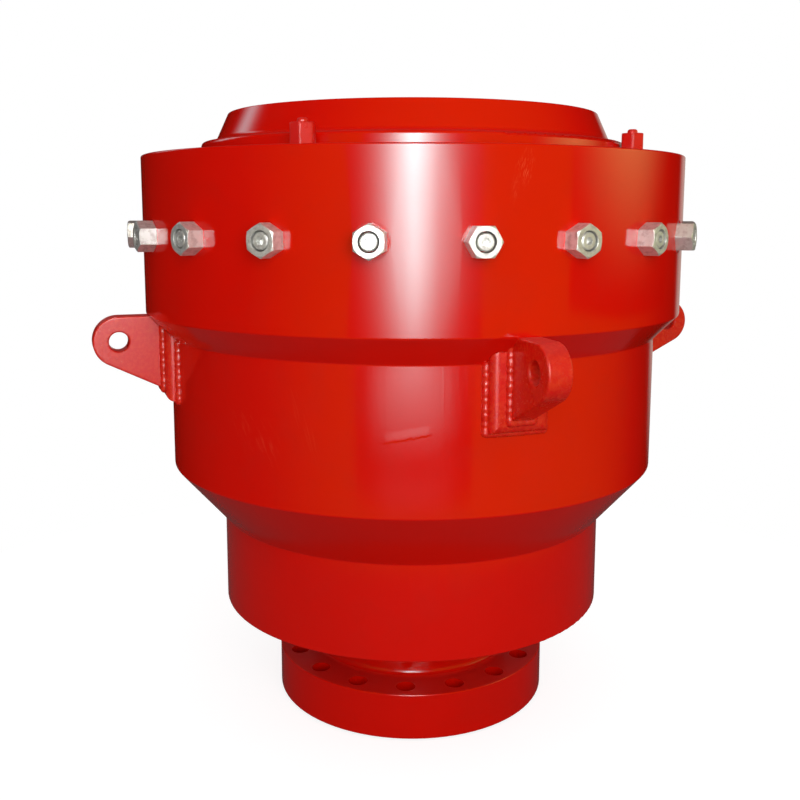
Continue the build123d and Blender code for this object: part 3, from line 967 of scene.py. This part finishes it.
@dataclass
class PackedSolids:
    """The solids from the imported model, which stay where they are and only get finishes."""

    effects: Effects

    def finishes(self) -> dict[str, Material]:
        """Materials by a part of the names of the nodes that they go on."""
        scuffs = (
            Scuff(-1.60, MEASURES.body_top - 0.045, 0.035, 0.045, 0.35, 3.0, 0.75),
            Scuff(-1.63, MEASURES.body_top - 0.085, 0.016, 0.035, 0.2, 2.5, 0.45),
            Scuff(-2.50, 0.755, 0.13, 0.08, -0.9, 2.4, 0.16),
            Scuff(-2.30, 0.79, 0.05, 0.11, -0.5, 2.0, 0.13),
        )
        body = RedPaint(
            "body_paint",
            cast_from=MEASURES.cast_bottom,
            cast_to=MEASURES.cast_top,
            ripple=0.00012,
            run_depth=0.00010,
            machined=True,
            scuffs=scuffs,
            sags=(Sag(-1.94, 0.770, 0.085, 0.11, 0.00035),),
        )
        head = RedPaint("head_paint", machined=True, holes=MEASURES.stud_hole_mouth)
        cast = {"cast_from": 0.0, "cast_to": 2.0}
        lug = RedPaint(
            "lug_paint",
            mottled=0.35,
            cast_peel=0.00005,
            wave=0.00022,
            nib=0.0001,
            cast_roughness=0.24,
            grime=0.3,
            edge_round=0.003,
            **cast,
        )
        trim = RedPaint("trim_paint", nib=0.0, cast_roughness=0.28, edge_round=0.007, **cast)
        paints = {"body": body, "head": head, "lifting_lug": lug, "keeper": trim, "port_plug": trim}
        made = {key: paint.build(self.effects) for key, paint in paints.items()}
        plated = PlatedSteel().build(self.effects)
        steel = BareSteel().build(self.effects)
        made |= {"gland_nut": plated, "operating_screws": plated, "locking_jaws": steel, "wear_plate": steel}
        made |= {"packing_inserts": steel, "piston": steel, "inner_sleeve": steel}
        made["packing_rubber"] = BlackRubber().build(self.effects)
        return made

    def dress(self) -> dict[str, Material]:
        """Assign every node's material.

        Returns:
            The materials by key, for the added pieces.
        """
        made = self.finishes()
        for name, node in frame["nodes"].items():
            material = next(value for key, value in made.items() if key in name)
            for material_slot in node.material_slots:
                material_slot.material = material
            log.info("%s: %s", name, material.name)
        return made


# ---- Studio ----


@dataclass(frozen=True)
class Card:
    """An upright glowing card that shows only as a reflection.

    Its azimuth is in degrees from the camera's side, towards the camera's right. Its lengths are in metres.
    """

    name: str
    azimuth: float
    distance: float
    width: float
    low: float
    high: float
    colour: Colour
    strength: float

    @property
    def middle(self) -> float:
        """Height of the card's middle above the floor."""
        return (self.low + self.high) / 2


@dataclass(frozen=True)
class Bell:
    """A bell over a distance, down to about a third at its width. A power above 2 makes a flatter top."""

    width: float
    power: float

    def value(self, graph: Graph, away: Value) -> NodeSocket:
        """The bell's value, 1 at its middle.

        Args:
            graph: The card's graph.
            away: Metres from the bell's middle, of either sign.

        Returns:
            The value's socket.
        """
        share = graph.product(graph.math("ABSOLUTE", away), 1 / self.width)
        return graph.math("EXPONENT", graph.product(graph.math("POWER", share, self.power), -1.0))


@dataclass
class Studio:
    """Camera, lights, floor and white background."""

    camera_azimuth: float = -20.4
    camera_distance: float = 2.4248
    camera_height: float = 1.2090
    camera_pitch: float = 8.18
    camera_yaw: float = 0.682
    camera_roll: float = 0.1
    lens: float = 43.815
    shift: float = -0.0625
    middle_height: float = 0.75
    key_azimuth: float = 11.0
    key_elevation: float = 16.0
    key_distance: float = 4.2
    key_power: float = 75.0
    key_size: float = 2.4
    floor_radius: float = 1.7
    floor_colour: Colour = (0.36, 0.36, 0.36)
    floor_mirrored: Colour = (0.05, 0.05, 0.05)
    floor_glow: float = 0.80
    floor_mirrored_glow: float = 0.02
    sky: Colour = (0.63, 0.63, 0.63)
    ground: Colour = (0.45, 0.45, 0.45)
    dark_side: Colour = (0.02, 0.006, 0.003)
    lit_side: Colour = (0.45, 0.30, 0.01)
    lit_azimuth: float = 25.0
    far_side: Colour = (0.5, 0.45, 0.40)
    far_azimuth: float = 158.0
    doorway: Card = Card("doorway", 0.8, 3.0, 2.6, -0.15, 2.6, (0.96, 0.98, 1.0), 32.0)
    doorway_steps: tuple[Step, ...] = ((0.40, 0.56, 0.14), (0.56, 1.0, 0.46), (1.0, 1.6, 0.40))
    warm_wall: Card = Card("warm_wall", 88.0, 3.2, 3.6, 0.7, 2.6, (1.0, 1.0, 0.33), 2.1)
    skylight: Card = Card("skylight", -116.0, 3.2, 2.0, 1.7, 3.8, (0.5, 0.93, 1.0), 2.2)

    def toward(self, azimuth: float, elevation: float = 0.0) -> Vector:
        """A direction seen from the object.

        Args:
            azimuth: Degrees from the camera's side, towards the camera's right.
            elevation: Degrees above the horizon.

        Returns:
            The unit vector.
        """
        turn = math.radians(self.camera_azimuth + azimuth)
        rise = math.radians(elevation)
        flat = math.cos(rise)
        return Vector((math.sin(turn) * flat, -math.cos(turn) * flat, math.sin(rise)))

    def camera(self) -> None:
        """Set up the camera."""
        data = bpy.data.cameras.new("camera")
        data.lens = self.lens
        data.sensor_width = 36.0
        data.shift_y = self.shift
        seat = bpy.data.objects.new("camera", data)
        bpy.context.scene.collection.objects.link(seat)
        place = self.toward(0.0) * self.camera_distance
        place.z = self.camera_height
        turn = Matrix.Rotation(math.radians(self.camera_azimuth + self.camera_yaw), 4, "Z")
        tilt = Matrix.Rotation(math.radians(90 - self.camera_pitch), 4, "X")
        roll = Matrix.Rotation(math.radians(self.camera_roll), 4, "Z")
        seat.matrix_world = Matrix.Translation(place) @ turn @ tilt @ roll
        bpy.context.scene.camera = seat

    def key_lamp(self) -> None:
        """The one lamp: a soft square aimed at the object's middle, which never shows, not even mirrored."""
        data = bpy.data.lights.new("key", "AREA")
        data.energy = self.key_power
        data.size = self.key_size
        seat = bpy.data.objects.new("key", data)
        bpy.context.scene.collection.objects.link(seat)
        away = self.toward(self.key_azimuth, self.key_elevation)
        seat.location = Vector((0, 0, self.middle_height)) + away * self.key_distance
        seat.rotation_euler = away.to_track_quat("Z", "Y").to_euler()
        seat.visible_camera = False
        seat.visible_glossy = False

    @staticmethod
    def blank(owner: Material | World) -> Graph:
        """The graph of a material or world, emptied."""
        owner.use_nodes = True
        owner.node_tree.nodes.clear()
        return Graph(owner.node_tree)

    def stand(self, card: Card) -> tuple[Graph, NodeSocket, NodeSocket]:
        """Stand a card beside the object.

        Args:
            card: The card.

        Returns:
            Its material's graph, and metres across and up from its middle.
        """
        bpy.ops.object.select_all(action="DESELECT")
        bpy.ops.mesh.primitive_plane_add(size=1.0)
        piece = bpy.context.view_layer.objects.active
        piece.name = card.name
        piece.scale = (card.width, card.high - card.low, 1.0)
        bpy.ops.object.transform_apply(location=False, rotation=False, scale=True)
        piece.location = self.toward(card.azimuth) * card.distance + Vector((0, 0, card.middle))
        piece.rotation_euler = (math.pi / 2, 0, math.radians(self.camera_azimuth + card.azimuth))
        for ray in ("camera", "diffuse", "shadow", "transmission", "volume_scatter"):
            setattr(piece, "visible_" + ray, False)
        material = bpy.data.materials.new(card.name)
        piece.data.materials.append(material)
        graph = self.blank(material)
        across, up, _ = graph.split(graph.add("TexCoord").outputs["Object"])
        return graph, across, up

    @staticmethod
    def shine(graph: Graph, card: Card, strength: NodeSocket) -> None:
        """Let a card glow in its colour with a strength."""
        glow = graph.add("Emission")
        glow.inputs["Color"].default_value = (*card.colour, 1.0)
        graph.feed(glow.inputs["Strength"], strength)
        graph.feed(graph.add("OutputMaterial").inputs["Surface"], glow.outputs[0])

    def stand_doorway(self) -> None:
        """The bright doorway in front: its opening, the dimmer wide ground beyond it and its step."""
        graph, across, up = self.stand(self.doorway)
        height = graph.total(up, self.doorway.middle)
        upper: Value = 0.0
        for start, end, share in self.doorway_steps:
            upper = graph.total(upper, graph.product(graph.rise(height, start, end, smooth=False), share))
        opening = graph.product(Bell(0.43, 1.55).value(graph, across), upper, self.doorway.strength)
        lower = graph.blend(graph.rise(height, 0.19, 0.56, smooth=False), 2.6, 1.4)
        lower = graph.product(lower, graph.rise(height, 0.19, 0.20), graph.rise(height, 0.60, 0.45))
        doorstep = graph.product(graph.rise(height, -0.12, -0.09), graph.rise(height, 0.0, -0.03))
        ground = graph.product(graph.blend(doorstep, 0.5, lower), Bell(0.80, 4.0).value(graph, across))
        self.shine(graph, self.doorway, graph.total(opening, ground))

    def stand_wall(self) -> None:
        """The warm wall beside the camera's right, lit more the higher up."""
        graph, across, up = self.stand(self.warm_wall)
        height = graph.total(up, self.warm_wall.middle)
        fade = graph.math("POWER", graph.rise(height, 0.75, 1.6, smooth=False), 1.7)
        bell = Bell(0.95, 2.0).value(graph, graph.total(across, 0.28))
        self.shine(graph, self.warm_wall, graph.product(bell, fade, self.warm_wall.strength))

    def stand_skylight(self) -> None:
        """The cool soft window high behind the camera's left."""
        graph, across, up = self.stand(self.skylight)
        pane = graph.product(Bell(0.36, 2.0).value(graph, across), Bell(0.85, 4.0).value(graph, up))
        self.shine(graph, self.skylight, graph.product(pane, self.skylight.strength))

    def facing(self, graph: Graph, azimuth: float) -> NodeSocket:
        """How nearly a world direction points to an azimuth on the horizon.

        Args:
            graph: The world's graph.
            azimuth: Degrees from the camera's side.

        Returns:
            1 straight that way, 0 to the sides and -1 the other way.
        """
        along = graph.add("VectorMath", operation="DOT_PRODUCT")
        graph.feed(along.inputs[0], graph.add("TexCoord").outputs["Generated"])
        along.inputs[1].default_value = self.toward(azimuth)
        return along.outputs["Value"]

    def sector(self, graph: Graph, azimuth: float, outer: float, inner: float) -> NodeSocket:
        """Mask of the world within some degrees of an azimuth, soft from the outer angle to the inner one."""
        start, end = (math.cos(math.radians(angle)) for angle in (outer, inner))
        return graph.rise(self.facing(graph, azimuth), start, end)

    @staticmethod
    def ray_masks(graph: Graph) -> tuple[NodeSocket, NodeSocket]:
        """Masks of the camera's own rays, and of the rays that were mirrored or passed through."""
        rays = graph.add("LightPath").outputs
        bounced = graph.math("MAXIMUM", rays["Is Glossy Ray"], rays["Is Transmission Ray"])
        return rays["Is Camera Ray"], bounced

    def world(self) -> None:
        """White for the camera, the same white behind the object in reflections, and soft grey light."""
        world = bpy.data.worlds.new("studio")
        bpy.context.scene.world = world
        graph = self.blank(world)
        seen, mirrored = self.ray_masks(graph)
        room = graph.rise(self.facing(graph, self.lit_azimuth), -0.2, 0.9)
        reflected = graph.mix(room, self.dark_side, self.lit_side)
        far = self.sector(graph, self.far_azimuth, 16, 6)
        reflected = graph.mix(far, reflected, self.far_side)
        behind = self.sector(graph, 180.0, 12, 8)
        reflected = graph.mix(behind, reflected, WHITE)
        below = graph.rise(graph.split(graph.add("TexCoord").outputs["Generated"])[2], 0.1, -0.2)
        soft = graph.mix(below, self.sky, self.ground)
        colour = graph.mix(mirrored, soft, reflected)
        background = graph.add("Background")
        graph.feed(background.inputs["Color"], graph.mix(seen, colour, WHITE))
        graph.feed(graph.add("OutputWorld").inputs["Surface"], background.outputs[0])

    def floor(self) -> None:
        """A pale floor that shows white and keeps the object's shadow."""
        bpy.ops.object.select_all(action="DESELECT")
        bpy.ops.mesh.primitive_circle_add(vertices=96, radius=self.floor_radius, fill_type="NGON")
        piece = bpy.context.view_layer.objects.active
        piece.name = "floor"
        material = bpy.data.materials.new("floor")
        graph = self.blank(material)
        seen, mirrored = self.ray_masks(graph)
        plain = graph.add("BsdfDiffuse")
        shown = graph.mix(mirrored, self.floor_colour, self.floor_mirrored)
        graph.feed(plain.inputs["Color"], shown)
        glow = graph.add("Emission")
        strength = graph.blend(mirrored, self.floor_mirrored_glow, graph.product(seen, self.floor_glow))
        graph.feed(glow.inputs["Strength"], strength)
        both = graph.add("AddShader")
        graph.feed(both.inputs[0], plain.outputs[0])
        graph.feed(both.inputs[1], glow.outputs[0])
        graph.feed(graph.add("OutputMaterial").inputs["Surface"], both.outputs[0])
        piece.data.materials.append(material)

    def build(self) -> None:
        """Set up everything round the object."""
        self.camera()
        self.world()
        self.floor()
        self.stand_doorway()
        self.stand_wall()
        self.stand_skylight()
        self.key_lamp()
        bpy.context.scene.view_settings.view_transform = "Standard"


# ---- Build ----


def main() -> None:
    """Build the preventer's finishes and added pieces, then the studio."""
    logging.basicConfig(level=logging.INFO, format="%(name)s: %(message)s")
    effects = Effects()
    made = PackedSolids(effects).dress()
    LugWelds(made["lifting_lug"]).build()
    StudThreads(made["wear_plate"]).build()
    Studio().build()


if __name__ == "__main__":
    main()
